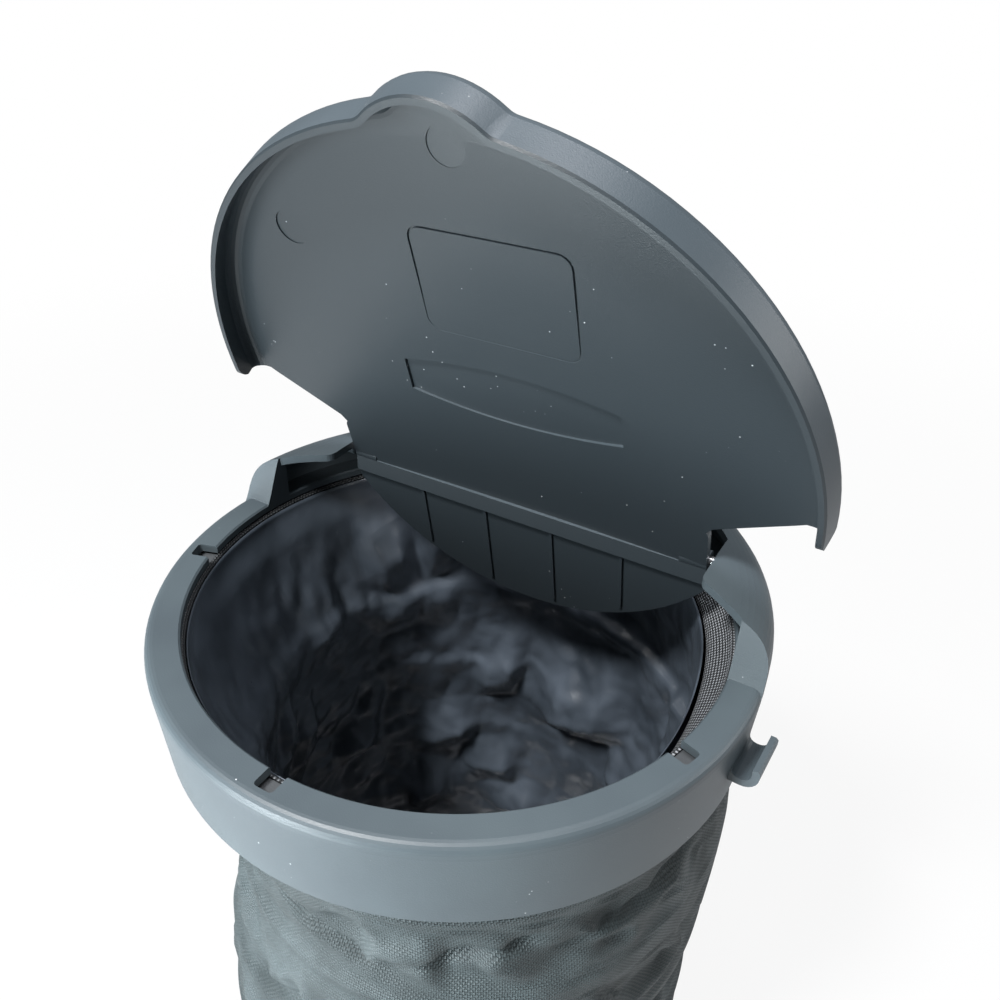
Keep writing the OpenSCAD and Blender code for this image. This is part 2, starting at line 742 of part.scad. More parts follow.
module base_shell() {
    color(shell_colour)
        difference() {
            rotate_extrude()
                polygon(concat([[0, 0], [base_r - 3, 0]],
                    arc([base_r - 3, 3], 3, -90, 0, 5),
                    [[base_r, shoulder_h - 1], [base_r - 1, shoulder_h], [base_rim_r, shoulder_h],
                     [base_rim_r, base_h - 0.8], [base_rim_r - 0.8, base_h], [base_in_r, base_h],
                     [base_in_r, base_wall], [0, base_wall]]));
            base_screw_holes(screw_r + screw_gap, -cut, base_wall + cut);
            base_screw_holes(screw_head_r + screw_gap, -cut, screw_head_h);
        }
}

module base_screw_holes(r, low, high) {
    for (i = [0:base_screws_n - 1])
        rotate([0, 0, (i + 0.5) * 360 / base_screws_n])
            translate([board_screw_r, 0, low]) cylinder(r = r, h = high - low);
}

module base_board() {
    foot_r = 4;
    color("dimgray")
        difference() {
            union() {
                translate([0, 0, board_z]) cylinder(r = board_r, h = board_t);
                for (i = [0:base_screws_n - 1])
                    rotate([0, 0, (i + 0.5) * 360 / base_screws_n])
                        translate([board_screw_r, 0, base_wall])
                            cylinder(r = foot_r, h = board_z - base_wall + 0.5);
            }
            base_screw_holes(screw_r, base_wall - cut, board_top - 0.4);
        }
}

module base_screws() {
    color("dimgray")
        for (i = [0:base_screws_n - 1])
            rotate([0, 0, (i + 0.5) * 360 / base_screws_n])
                translate([board_screw_r, 0, screw_head_h])
                    intersection() {
                        screw();
                        translate([0, 0, -screw_head_h]) cylinder(r = screw_head_r, h = board_top - 0.8);
                    }
}

top_ring();
lid();
hinge_pin_left();
hinge_pin_right();
clamp_ring();
clamp_screws();
hem_tape();
outer_cloth();
wire_casing();
spring_wire();
wire_tips();
lining();
base_shell();
base_board();
base_screws();
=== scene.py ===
# %% [markdown]
# # A collapsible car bin, dressed for its picture
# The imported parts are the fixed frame: the moulded ring, the lid, the base and
# their small metal. This script gives them their finishes and makes again what
# is soft: the cloth wall, the spiral wire inside it, the mesh tape under the
# ring and the film lining. Lengths are metres, and MM turns millimetres to them.

import math

import bmesh
import bpy
from mathutils import Matrix, Vector, noise


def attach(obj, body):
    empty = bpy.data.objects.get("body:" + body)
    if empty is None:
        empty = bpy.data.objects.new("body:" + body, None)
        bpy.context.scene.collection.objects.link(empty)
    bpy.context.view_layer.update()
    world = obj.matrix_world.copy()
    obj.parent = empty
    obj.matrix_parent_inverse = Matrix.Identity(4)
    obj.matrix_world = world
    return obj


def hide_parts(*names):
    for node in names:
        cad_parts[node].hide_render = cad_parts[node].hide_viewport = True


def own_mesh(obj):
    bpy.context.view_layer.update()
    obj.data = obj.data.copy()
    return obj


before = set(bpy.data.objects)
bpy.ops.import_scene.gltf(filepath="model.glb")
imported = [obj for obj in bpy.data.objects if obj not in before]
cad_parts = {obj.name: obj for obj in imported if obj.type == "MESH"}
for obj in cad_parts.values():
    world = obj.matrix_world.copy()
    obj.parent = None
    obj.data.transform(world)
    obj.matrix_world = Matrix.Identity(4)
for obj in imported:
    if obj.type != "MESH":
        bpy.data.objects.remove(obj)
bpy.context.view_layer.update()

# %% [markdown]
# ## The camera
# It stands in front of the bin, to the right and a little above the lid, at
# arm's length. A short lens from so near makes the mouth a strong ellipse.
# The view could be aimed with a constraint. It is written as three directions
# instead, which is exact and keeps the slight roll of a hand-held camera.

# %% Camera
MM = 0.001
deck_height = 200 * MM


def stand(name, data):
    """An object that holds the data, put in the scene."""
    made = bpy.data.objects.new(name, data)
    bpy.context.scene.collection.objects.link(made)
    return made


right_way = Vector((0.8669, 0.49779, 0.02634))
down_way = Vector((0.28556, -0.45261, -0.84475))
ahead = right_way.cross(down_way).normalized()
down_way = ahead.cross(right_way).normalized()
right_way = down_way.cross(ahead).normalized()
facing = Matrix((right_way, -down_way, -ahead)).transposed().to_4x4()

lens = bpy.data.cameras.new("camera")
lens.sensor_width, lens.lens = 36.0, 32.4
lens.clip_start, lens.clip_end = 0.01, 60
camera = stand("camera", lens)
camera.matrix_world = Matrix.Translation((0.10626, -0.17172, deck_height + 0.15797)) @ facing
bpy.context.scene.camera = camera
print("camera at", [round(c, 3) for c in camera.location])

# %% [markdown]
# ## Writing shader maths as Python
# A material's pattern is arithmetic on coordinates. Wiring each Math node by
# hand hides the formula. The class below wraps one socket, so that an expression
# such as 1 - mask * 0.5 adds its own Math nodes and can be read as a formula.


# %% A socket with arithmetic
def maths(operation, reflected=False):
    """A method that adds one Math node. Reflected ones have the socket second."""

    def method(self, other=0.0):
        pair = (other, self) if reflected else (self, other)
        return self.graph.node("ShaderNodeMath", {"operation": operation}, pair)

    return method


class Value:
    """One output socket and the graph that it belongs to."""

    def __init__(self, graph, socket):
        self.graph, self.socket = graph, socket

    __add__ = __radd__ = maths("ADD")
    __mul__ = __rmul__ = maths("MULTIPLY")
    __sub__, __rsub__ = maths("SUBTRACT"), maths("SUBTRACT", reflected=True)
    __truediv__, __rtruediv__ = maths("DIVIDE"), maths("DIVIDE", reflected=True)
    __mod__, __rmod__ = maths("FLOORED_MODULO"), maths("FLOORED_MODULO", reflected=True)
    __abs__, sin = maths("ABSOLUTE"), maths("SINE")
    above, power = maths("GREATER_THAN"), maths("POWER")

    def clamp(self):
        return self.graph.node("ShaderNodeClamp", {}, [self])

    def step(self, low, high):
        """0 below low, 1 above high, an S between them."""
        settings = {"interpolation_type": "SMOOTHSTEP"}
        return self.graph.node("ShaderNodeMapRange", settings, [self, low, high])


print("sockets can be added, multiplied and compared")

# %% [markdown]
# ## One method for every other node
# A texture or a mix isn't arithmetic, so it needs a node of its own kind. One
# method takes the kind, its settings and the values or links of its sockets.
# A world has a node tree too, so the method belongs to a plain Graph, and a
# Finish adds the material and the few nodes that most finishes start from.


# %% Graph and finish
class Graph:
    """A node tree."""

    def __init__(self, tree):
        self.tree = tree

    def put(self, socket, value):
        if isinstance(value, Value):
            self.tree.links.new(value.socket, socket)
        else:
            socket.default_value = (*value, 1) if socket.type == "RGBA" else value

    def node(self, kind, settings, inputs, *outs):
        """Makes a node. Outs names the outputs wanted, or else it is the first."""
        made = self.tree.nodes.new(kind)
        for key, value in settings.items():
            setattr(made, key, value)
        for key, value in inputs.items() if isinstance(inputs, dict) else enumerate(inputs):
            self.put(made.inputs[key], value)
        values = [Value(self, made.outputs[out]) for out in outs or (0,)]
        return values if len(values) > 1 else values[0]

    def seen(self):
        """1 where the camera looks straight at it, 0 in reflections and shadows."""
        return self.node("ShaderNodeLightPath", {}, [], "Is Camera Ray")


class Finish(Graph):
    """A material, its node tree and its shader."""

    def __init__(self, name):
        self.material = bpy.data.materials.new(name)
        self.material.use_nodes = True
        super().__init__(self.material.node_tree)
        self.shader = self.tree.nodes["Principled BSDF"]

    def give(self, **sockets):
        for name, value in sockets.items():
            self.put(self.shader.inputs[name.replace("_", " ")], value)
        return self.material

    def place(self):
        return self.node("ShaderNodeTexCoord", {}, [], "Object")

    def cloth_metres(self):
        """How far round and how far up the cloth, from the piece's own UV map."""
        flat = self.node("ShaderNodeUVMap", {"uv_map": "cloth"}, [])
        return self.node("ShaderNodeSeparateXYZ", {}, [flat], 0, 1)

    def noise(self, vector, scale, detail, roughness=0.5):
        sockets = {"Vector": vector, "Scale": scale, "Detail": detail, "Roughness": roughness}
        return self.node("ShaderNodeTexNoise", {}, sockets)

    def mix(self, share, one, two):
        return self.node("ShaderNodeMix", {"data_type": "RGBA"}, {0: share, 6: one, 7: two}, 2)

    def bump(self, height, depth, strength):
        sockets = {"Strength": strength, "Distance": depth, "Height": height}
        return self.node("ShaderNodeBump", {}, sockets)


print("shader helpers ready")

# %% [markdown]
# ## Moulded plastic
# Ring, lid and base come out of a spark-eroded mould: a charcoal grey with a
# faint blue, a fine even grain that breaks up the gloss, slightly cloudy where
# the melt flowed, and a few specks of dust that catch the light. An image of
# plastic would show its edges on so large a lid, so noise makes all of it. The
# lid's inner face, from the polished half of the mould, is a little less rough,
# and its colour is darkened as painted shade. That face is found by the way its
# normal points.


# %% Plastics
def moulded(name, dark, light, rough, grain=1.0, dust=0.0, polished_shaded_side=None, shine=0.5):
    """A direction given for the inner face gets a little less roughness and a colour darkened
    as painted shade.
    """
    finish = Finish(name)
    place = finish.place()
    cloud = finish.noise(place, 26, 3)
    fine = finish.noise(place, 2600, 2, 0.6)
    colour = finish.mix(cloud.step(0.3, 0.7), dark, light)
    polish_and_shade = 0.0
    if polished_shaded_side:
        faces = finish.node("ShaderNodeTexCoord", {}, [], "Normal")
        settings = {"operation": "DOT_PRODUCT"}
        turned = finish.node("ShaderNodeVectorMath", settings, [faces, polished_shaded_side], "Value")
        polish_and_shade = turned.step(0.2, 0.7)
        # The inner face's colour is darkened here: painted shade.
        colour = finish.mix(polish_and_shade, colour, tuple(part * 0.45 for part in dark))
    cells = {"Vector": place, "Scale": 330}
    specks = finish.node("ShaderNodeTexVoronoi", {}, cells, "Distance")
    patches = finish.noise(place, 45, 1).step(0.56, 0.66)
    speck = (1 - specks.step(0.035, 0.075)) * patches * dust
    return finish.give(
        Base_Color=finish.mix(speck, colour, (0.52, 0.54, 0.56)),
        Roughness=rough + (fine - 0.5) * 0.10 + (cloud - 0.5) * 0.08 - polish_and_shade * 0.04,
        Specular_IOR_Level=shine,
        Normal=finish.bump(fine, 0.00008 * grain, 0.5),
    )


lid_open = math.radians(71.6)
under_lid = (0.0, -math.sin(lid_open), -math.cos(lid_open))
shell = moulded(
    "shell_plastic", (0.042, 0.054, 0.062), (0.051, 0.066, 0.074), 0.45, dust=0.8, shine=0.34
)
lid_plastic = moulded(
    "lid_plastic", (0.036, 0.047, 0.055), (0.044, 0.056, 0.065), 0.40,
    dust=0.8, polished_shaded_side=under_lid, shine=0.32,
)
inner_plastic = moulded(
    "inner_plastic", (0.032, 0.035, 0.038), (0.042, 0.046, 0.049), 0.5, grain=1.2
)
cap_plastic = moulded("cap_plastic", (0.012, 0.012, 0.013), (0.018, 0.018, 0.019), 0.55)
print("plastics:", shell.name, lid_plastic.name, inner_plastic.name, cap_plastic.name)

# %% [markdown]
# ## Metal
# The hinge pins are cut from drawn wire, with fine lines along them. The screws
# are dark zinc, rougher and a little blotched. Both are one noise: squeezing its
# coordinates along a pin draws it out into lines.


# %% Pin and screw metal
def metal(name, colour, rough, stretch):
    finish = Finish(name)
    place = finish.place()
    drawn = finish.node("ShaderNodeMapping", {}, {"Vector": place, "Scale": stretch})
    lines = finish.noise(drawn, 900, 2)
    blotch = finish.noise(place, 400, 2).step(0.35, 0.65)
    return finish.give(
        Base_Color=finish.mix(blotch, colour, tuple(part * 0.82 for part in colour)),
        Metallic=1.0,
        Roughness=rough + (lines - 0.5) * 0.16,
        Normal=finish.bump(lines, 0.00003, 0.4),
    )


drawn_steel = metal("drawn_steel", (0.58, 0.59, 0.60), 0.26, (0.05, 1, 1))
dark_zinc = metal("dark_zinc", (0.24, 0.24, 0.25), 0.42, (1, 1, 1))
print("metals:", drawn_steel.name, dark_zinc.name)

# %% [markdown]
# ## Woven cloth
# The wall is a coated polyester weave: threads pass over and under each other
# about every half millimetre. Its colour is darker where the weave is low,
# which is painted shade between the threads, and it is lighter and a little
# smoother in random blotches. Its pattern must follow the cloth round the bin,
# so it reads the piece's own UV map, which holds metres. A chequer says which
# thread is on top, and half waves round it.


# %% Weave
def weave(across, along, pitch):
    """Height of a plain weave, 0 to 1, from two lengths in metres."""
    u, v = across / pitch, along / pitch
    over = ((u % 2).above(1) + (v % 2).above(1)) % 2
    warp = abs((u * math.pi).sin())
    weft = abs((v * math.pi).sin())
    return warp * over + weft * (1 - over)


def woven(name, dark, light, pitch, depth, rough):
    finish = Finish(name)
    place = finish.place()
    u, v = finish.cloth_metres()
    wobble = (finish.noise(place, 90, 2) - 0.5) * 0.0006
    height = weave(u + wobble, v + wobble, pitch)
    # Random blotches, lighter in colour and a little smoother.
    random_blotches = finish.noise(place, 38, 4, 0.6).step(0.35, 0.75)
    return finish.give(
        # Darker where the weave is low: painted shade between the threads.
        Base_Color=finish.mix(height.power(1.3) * (0.28 + random_blotches * 0.72), dark, light),
        Roughness=rough - random_blotches * 0.12,
        Specular_IOR_Level=0.3,
        Normal=finish.bump(height, depth, 0.9),
    )


cloth = woven(
    "coated_weave", (0.010, 0.015, 0.016), (0.066, 0.085, 0.090), 0.66 * MM, 0.14 * MM, 0.6
)
strip = woven(
    "casing_weave", (0.02, 0.023, 0.025), (0.07, 0.08, 0.084), 0.85 * MM, 0.3 * MM, 0.7
)
print("cloths:", cloth.name, strip.name)

# %% [markdown]
# ## Open mesh
# Under the deck a band of coarse open mesh closes the lining's edge. Where the
# threads cross they are thick and pale. The band is a solid sheet, and between
# the crossings it is painted near black: painted shade for the mesh's openings.
# Every other row is shifted by half a step. The threads are painted pale at the
# right, where the light falls in, and dark at the left, in the ring's shade:
# painted light and painted shade.

# %% Open mesh
mesh_finish = Finish("open_mesh")
u, v = mesh_finish.cloth_metres()
row = v / (0.92 * MM)
step = u / (1.15 * MM) + (row % 2).above(1) * 0.5
dots = abs((step * math.pi).sin()) * abs((row * math.pi).sin())
# The threads' colour runs from dark at the left to pale at the right: painted shade and
# painted light.
painted_light_to_right = mesh_finish.node("ShaderNodeSeparateXYZ", {}, [mesh_finish.place()])
thread_painted_light = mesh_finish.mix(painted_light_to_right.step(-0.02, 0.06), (0.03, 0.034, 0.038), (0.22, 0.23, 0.245))
open_mesh = mesh_finish.give(
    # Near black between the crossings: painted shade for the openings.
    Base_Color=mesh_finish.mix(dots.step(0.35, 0.8), (0.006, 0.007, 0.008), thread_painted_light),
    Roughness=0.6 - dots * 0.15,
    Normal=mesh_finish.bump(dots, 0.4 * MM, 0.9),
)
print("mesh:", open_mesh.name)

# %% [markdown]
# ## Film
# The lining is thin black film with a wet-looking shine. Its big creases are in
# the mesh. The soft ripple between them is bump, because it is too fine to
# model: a noise has a sharp ridge wherever it crosses its middle value.

# %% Film
film_finish = Finish("black_film")
place = film_finish.place()
crease = film_finish.noise(place, 48, 2)
ridge = (1 - abs(crease - 0.5) * 7).clamp()
small = film_finish.noise(place, 300, 3, 0.6)
film = film_finish.give(
    Base_Color=film_finish.mix(
        crease.step(0.3, 0.7), (0.026, 0.033, 0.042), (0.052, 0.064, 0.080)
    ),
    Roughness=0.30 + (small - 0.5) * 0.10,
    Specular_IOR_Level=1.0,
    Normal=film_finish.bump(ridge * 0.5 + small * 0.06, 0.8 * MM, 0.4),
)
print("film:", film.name)

# %% [markdown]
# ## Dressing the imported parts
# The rigid parts keep the exact mesh that model.glb gives them. Remaking them
# would only lose their fits, so all that they get here is a finish.

# %% Finishes go on the frame's parts
finishes = {
    "top_ring": shell,
    "lid": lid_plastic,
    "base_shell": shell,
    "clamp_ring": inner_plastic,
    "base_board": inner_plastic,
    "hinge_pin_left": drawn_steel,
    "hinge_pin_right": drawn_steel,
    "clamp_screws": dark_zinc,
    "base_screws": dark_zinc,
}
for node, material in finishes.items():
    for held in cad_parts[node].material_slots:
        held.material = material
print("dressed", len(finishes), "parts")

# %% [markdown]
# ## The soft body's shape
# One spiral wire holds the cloth open. Every soft piece follows the same two
# rules: where the wire is at an angle, and how far the body bows to the right
# between the ring and the base, as cloth does when its wire is not quite
# straight. Rules keep the layers apart. A simulation would let them cross.

# %% Rules that the soft pieces share
cloth_low, cloth_high = 2.3 * MM, 193.2 * MM
coil_low, coil_high, coil_turns, coil_start = 9.5 * MM, 177 * MM, 4.5, math.radians(-132)
coil_radius, wire_radius = 76.6 * MM, 0.9 * MM
climb, sweep_angle = coil_high - coil_low, 2 * math.pi * coil_turns
pitch_up = climb / coil_turns
bow_right, bow_back, cave_left = 4.2 * MM, 2.0 * MM, 8 * MM
stiff_foot = 20 * MM


def soft_step(value, low, high):
    """0 below low, 1 above high, an S between them."""
    share = min(1.0, max(0.0, (value - low) / (high - low)))
    return share * share * (3 - 2 * share)


def angle_of(point):
    return math.atan2(point.y, point.x)


def degrees_past(angle, turn):
    """Degrees from turn to the angle, -180 to 180."""
    return (math.degrees(angle) - turn + 180) % 360 - 180


def hang(height):
    """0 at the base and in the ring, 1 a third of the way down from the ring."""
    share = min(1.0, max(0.0, (height - stiff_foot) / (cloth_high - stiff_foot)))
    return math.sin(math.pi * share**1.7) ** 2


def lean(mesh):
    """Moves a mesh with the body: to the right, with a cave on the left."""
    for vertex in mesh.verts:
        full, angle = hang(vertex.co.z), angle_of(vertex.co)
        left = 0.5 - 0.5 * math.cos(angle - math.radians(25))
        cave = cave_left * full * left**3
        vertex.co.x += bow_right * full - cave * math.cos(angle)
        vertex.co.y += bow_back * full - cave * math.sin(angle)


def from_wire(angle, height):
    """Signed distance up from the nearest turn of the wire, in metres."""
    share = (height - coil_low) / climb
    turns = share * coil_turns - (angle - coil_start) / (2 * math.pi)
    return (turns - round(turns)) * pitch_up


print("wire rises", round(pitch_up / MM, 1), "mm a turn")

# %% [markdown]
# ## Spinning a wall
# Cloth, tape and film all start as a line that is spun about the bin's axis.
# A grid rolled into a tube would do too, but it would leave a seam to close.
# The spin gives even rows of faces, which a rule can then bend point by point.


# %% Helpers that spin and turn
def spun(profile, steps, angle=2 * math.pi, rise=0.0):
    """A profile of (radius, height) points turned about the bin's axis."""
    mesh = bmesh.new()
    points = [mesh.verts.new((radius, 0, height)) for radius, height in profile]
    edges = [mesh.edges.new(pair) for pair in zip(points, points[1:])]
    bmesh.ops.spin(
        mesh,
        geom=points + edges,
        cent=(0, 0, 0),
        axis=(0, 0, 1),
        dvec=(0, 0, rise / steps),
        angle=angle,
        steps=steps,
        use_merge=rise == 0,
    )
    bmesh.ops.remove_doubles(mesh, verts=mesh.verts, dist=1e-6)
    bmesh.ops.recalc_face_normals(mesh, faces=mesh.faces)
    return mesh


def upright(radius, low, high, rows):
    """The points of a straight line up a wall."""
    return [(radius, low + (high - low) * i / rows) for i in range(rows + 1)]


def put_round(vertex, radius, angle):
    vertex.co.x, vertex.co.y = radius * math.cos(angle), radius * math.sin(angle)


def turn_by(mesh, verts, angle, axis):
    bmesh.ops.rotate(mesh, verts=verts, cent=(0, 0, 0), matrix=Matrix.Rotation(angle, 3, axis))


print("lines can be spun round, or up a spiral")

# %% [markdown]
# ## From a mesh to a piece
# A weave has to follow the cloth round the bin. So, while a wall is still plain,
# each point gets its place in metres as a UV map. Solidify gives a sheet its
# thickness, and is applied at once to leave plain meshes for the poses. Each
# piece then says which imported part it replaces, and is attached to the body
# that it moves with.


# %% Helpers that finish a piece
def lay_metres(mesh, radius):
    """A UV map in metres: round the bin, and up its wall or in across its floor."""
    layer = mesh.loops.layers.uv.new("cloth")
    floor_top = cloth_low + 6 * MM
    for face in mesh.faces:
        middle = face.calc_center_median()
        home = angle_of(middle)
        for loop in face.loops:
            point = loop.vert.co
            turn = angle_of(point) if point.xy.length > 1e-5 else home
            turn += 2 * math.pi * round((home - turn) / (2 * math.pi))
            inwards = max(0.0, radius - point.xy.length) if middle.z < floor_top else 0.0
            loop[layer].uv = (turn * radius, point.z - inwards)


def piece(name, mesh, material, replaced, thickness=0.0):
    """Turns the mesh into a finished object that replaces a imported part."""
    data = bpy.data.meshes.new(name)
    for face in mesh.faces:
        face.smooth = True
    mesh.to_mesh(data)
    mesh.free()
    made = stand(name, data)
    data.materials.append(material)
    if thickness:
        wall = made.modifiers.new("wall", "SOLIDIFY")
        wall.thickness, wall.offset, wall.use_even_offset = thickness, -1, False
    graph = bpy.context.evaluated_depsgraph_get()
    finished = bpy.data.meshes.new_from_object(made.evaluated_get(graph))
    made.modifiers.clear()
    made.data = finished
    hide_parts(replaced)
    print(name, "has", len(made.data.polygons), "faces")
    return made


def folds_down(made):
    """Attaches a soft piece to the base, which the ring comes down on, and gives it its own
    mesh.
    """
    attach(made, "base")
    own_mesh(made)


# %% [markdown]
# ## The cloth wall
# A tube of weave, sewn to a strip that carries the wire. Over the wire it stands
# proud, with a row of stitches on each side. Between the turns it hangs
# slack in soft slanting folds, with a few long creases. Each vertex moves out by
# a rule written in the angle and the height, so that the ridge stays on the
# wire. At the right the rule is held back, where the body already bows out.


# %% How the cloth hangs
cloth_r = 78.6 * MM
# The rule's own depths are in millimetres, out from this radius
cloth_rest = 78.7
# Angle in degrees, height in millimetres, climb per degree, depth
creases = [
    (-118, 163, -0.45, 3.0), (-60, 149, 0.5, 2.4), (-88, 141, -0.3, 2.6),
    (-140, 150, 0.4, 2.4), (-25, 156, 0.35, 2.2), (150, 150, -0.4, 2.6),
    (70, 140, 0.4, 2.4), (-100, 96, 0.4, 2.8), (-40, 104, -0.4, 2.4),
    (-150, 84, -0.3, 2.6), (20, 92, 0.35, 2.4), (110, 88, -0.35, 2.6),
]


def crumple(angle, height, seed, slant, size):
    """Sharp-backed folds, 0 to 1, that slant as they go round."""
    spot = Vector((math.cos(angle), math.sin(angle), 0)) * 2.2
    spot.z = height * size + angle * slant
    one = noise.noise(spot * 1.6 + Vector((seed, 0, 0)))
    two = noise.noise(spot * 3.7 + Vector((0, seed, 3)))
    return max(0.0, 1 - abs(one * 2.4 + two * 0.7))


def creased(angle, height):
    """How deep the long creases are here, in millimetres."""
    deepness = 0.0
    for turn, top, slope, deep in creases:
        away = degrees_past(angle, turn)
        down = (height / MM - top - away * slope) / 2.2
        deepness += deep * math.exp(-(down**2) - (away / 15) ** 4)
    return deepness


def cloth_radius(angle, height):
    """The ridge over the wire, the stitches beside it and the slack between turns."""
    gap = abs(from_wire(angle, height))
    band = 1 - soft_step(gap, 5.6 * MM, 6.6 * MM)
    wire = math.exp(-((gap / (1.9 * MM)) ** 2))
    stitch = math.exp(-(((gap - 4.6 * MM) / (0.5 * MM)) ** 2))
    slack = soft_step(gap, 4 * MM, 17 * MM)
    fold = crumple(angle, height, 1.7, 0.55, 26)
    fine = crumple(angle, height, 6.1, -0.8, 55)
    out = band * 0.7 + wire * 1.5 - stitch * 0.7 - slack * 2.6
    out += slack * fold * 3.8 + (0.3 + slack) * fine * 1.1 - creased(angle, height)
    bulge = hang(height) * max(0.0, math.cos(angle - math.radians(20)))
    out = min(out, 2.2 - 1.9 * bulge)
    ends = soft_step(height, cloth_low + 8 * MM, cloth_low + 26 * MM)
    ends *= soft_step(cloth_high - height, 6 * MM, 26 * MM)
    neck = 1.9 * soft_step(height, cloth_high - 13 * MM, cloth_high - 6 * MM)
    return (cloth_rest - neck + ends * out) * MM


print("creases in the cloth:", len(creases))

# %% [markdown]
# ## The wall itself
# The line that is spun starts with the hem, which the base board clamps, and
# goes straight up from there. The rule then bends only the upright part.

# %% Outer cloth
hem = [(66.4 * MM, cloth_low), (70 * MM, cloth_low), (74 * MM, cloth_low)]
wall = spun(hem + upright(cloth_r, cloth_low, cloth_high, 132), 288)
lay_metres(wall, cloth_r)
for vertex in wall.verts:
    if vertex.co.xy.length > 78 * MM:
        angle = angle_of(vertex.co)
        put_round(vertex, cloth_radius(angle, vertex.co.z), angle)
lean(wall)
outer_cloth = piece("outer_cloth_wall", wall, cloth, "outer_cloth", 0.45 * MM)
folds_down(outer_cloth)

# %% [markdown]
# ## The spring wire
# A hard steel wire in four and a half turns pushes the bin open. Spinning a
# small circle while it climbs gives such a spring. A curve with a bevel would
# too, but its ends would then need their own caps.

# %% Spring wire
tip_share = 9 * MM / (sweep_angle * coil_radius)


def coiled(start, end, radius, steps):
    """A stretch of the coil, from one share of its length to another."""
    mesh = bmesh.new()
    ring = bmesh.ops.create_circle(mesh, segments=10, radius=radius, cap_ends=True)["verts"]
    turn_by(mesh, ring, math.pi / 2, "X")
    bmesh.ops.translate(mesh, verts=ring, vec=(coil_radius, 0, coil_low + climb * start))
    turn_by(mesh, ring, coil_start + sweep_angle * start, "Z")
    bmesh.ops.spin(
        mesh,
        geom=mesh.faces[:],
        cent=(0, 0, 0),
        axis=(0, 0, 1),
        dvec=(0, 0, climb * (end - start) / steps),
        angle=sweep_angle * (end - start),
        steps=steps,
    )
    bmesh.ops.recalc_face_normals(mesh, faces=mesh.faces)
    lean(mesh)
    return mesh


coil = coiled(tip_share, 1 - tip_share, wire_radius, 430)
wire = piece("spring_wire_coil", coil, drawn_steel, "spring_wire")
folds_down(wire)

# %% [markdown]
# ## Caps and casing
# Small plastic caps keep the wire's ends from cutting the cloth. They are the
# first and last stretch of the same coil, a little thicker. The strip that is
# sewn round inside the cloth is a short upright line, spun with the same climb.

# %% Wire end caps and casing strip
cap_radius = wire_radius + 0.25 * MM
tips = coiled(0, tip_share, cap_radius, 5)
second = bpy.data.meshes.new("second tip")
coiled(1 - tip_share, 1, cap_radius, 5).to_mesh(second)
tips.from_mesh(second)
caps = piece("wire_end_caps", tips, cap_plastic, "wire_tips")
folds_down(caps)

strip_width, strip_radius = 12 * MM, 75.05 * MM
strip_foot, strip_top = coil_low - strip_width / 2, coil_low + strip_width / 2
strip_line = upright(strip_radius, strip_foot, strip_top, 4)
casing_mesh = spun(strip_line, 430, sweep_angle, climb)
turn_by(casing_mesh, casing_mesh.verts, coil_start, "Z")
lay_metres(casing_mesh, 75 * MM)
lean(casing_mesh)
casing = piece("wire_casing_strip", casing_mesh, strip, "wire_casing", 0.3 * MM)
folds_down(casing)

# %% [markdown]
# ## The tape
# The band hangs from the clamp ring. The lining is sewn to its lower edge, and
# its weight pulls that edge in, most of all at the right and left. Lining and
# tape are moved by one rule, so that they stay together at the seam.


# %% Hem tape
def tuck(angle, height):
    """How far the lining's sewn edge is pulled in, in metres."""
    right = math.exp(-((angle - math.radians(8)) / math.radians(36)) ** 2)
    left = math.exp(-((abs(angle) - math.radians(170)) / math.radians(24)) ** 2)
    return (6.2 * right + 3.2 * left) * MM * soft_step(196.4 * MM - height, 0, 11 * MM)


def pull_in(mesh, least=0.0):
    """Pulls in what lies outside the least radius."""
    for vertex in mesh.verts:
        angle = angle_of(vertex.co)
        if vertex.co.xy.length > least:
            pull = tuck(angle, vertex.co.z) * soft_step(vertex.co.z, 135 * MM, 186 * MM)
            vertex.co -= Vector((math.cos(angle), math.sin(angle), 0)) * pull


tape_r, tape_top, tape_foot = 75.5 * MM, 196.6 * MM, 185.2 * MM
tape_line = [(76.6 * MM, 197.15 * MM), (75.95 * MM, 197.1 * MM)]
tape_line += upright(tape_r, tape_top, tape_foot, 14)
tape_mesh = spun(tape_line, 240)
lay_metres(tape_mesh, tape_r)
pull_in(tape_mesh)
tape = piece("hem_tape_band", tape_mesh, open_mesh, "hem_tape", 0.3 * MM)
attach(tape, "ring")

# %% [markdown]
# ## The lining
# A bag of thin film dropped inside the wire. Film doesn't stretch, so it breaks
# into flat patches with sharp creases between them, which is what the cells of a
# Voronoi pattern look like. The wire's turns push it into ledges. Between the
# ledges it sags into dents, each a slope that faces up to the light and turns
# back under at its foot. The dents that the light finds are placed one by one.

# %% How the film hangs
lining_low, lining_high, lining_r = 5.9 * MM, 187.6 * MM, 73.9 * MM
lift_most = 8.6 * MM
# Angle, height of the foot, half width in degrees, height of the slope, depth
dents = [
    (80, 97, 19, 34, 13), (70, 108, 8, 20, 4), (112, 103, 9, 26, 7), (126, 69, 11, 19, 7),
    (109, 49, 11, 17, 7), (60, 78, 10, 19, 6), (147, 164, 8, 22, 6), (130, 166, 7, 20, 6),
    (-172, 104, 5, 34, 5), (-160, 128, 4, 26, 4), (133, 33, 10, 15, 6), (102, 28, 12, 14, 6),
    (160, 82, 9, 24, 6), (40, 120, 9, 30, 6), (-120, 110, 14, 30, 6), (-70, 90, 15, 28, 7),
    (-20, 128, 12, 30, 6), (10, 70, 14, 26, 7), (-95, 150, 12, 24, 5), (172, 150, 8, 22, 4),
]


def lift(angle):
    """The film reaches up behind the deck, except at the right, where the mesh shows."""
    return lift_most * soft_step(abs(degrees_past(angle, 4)), 40, 62)


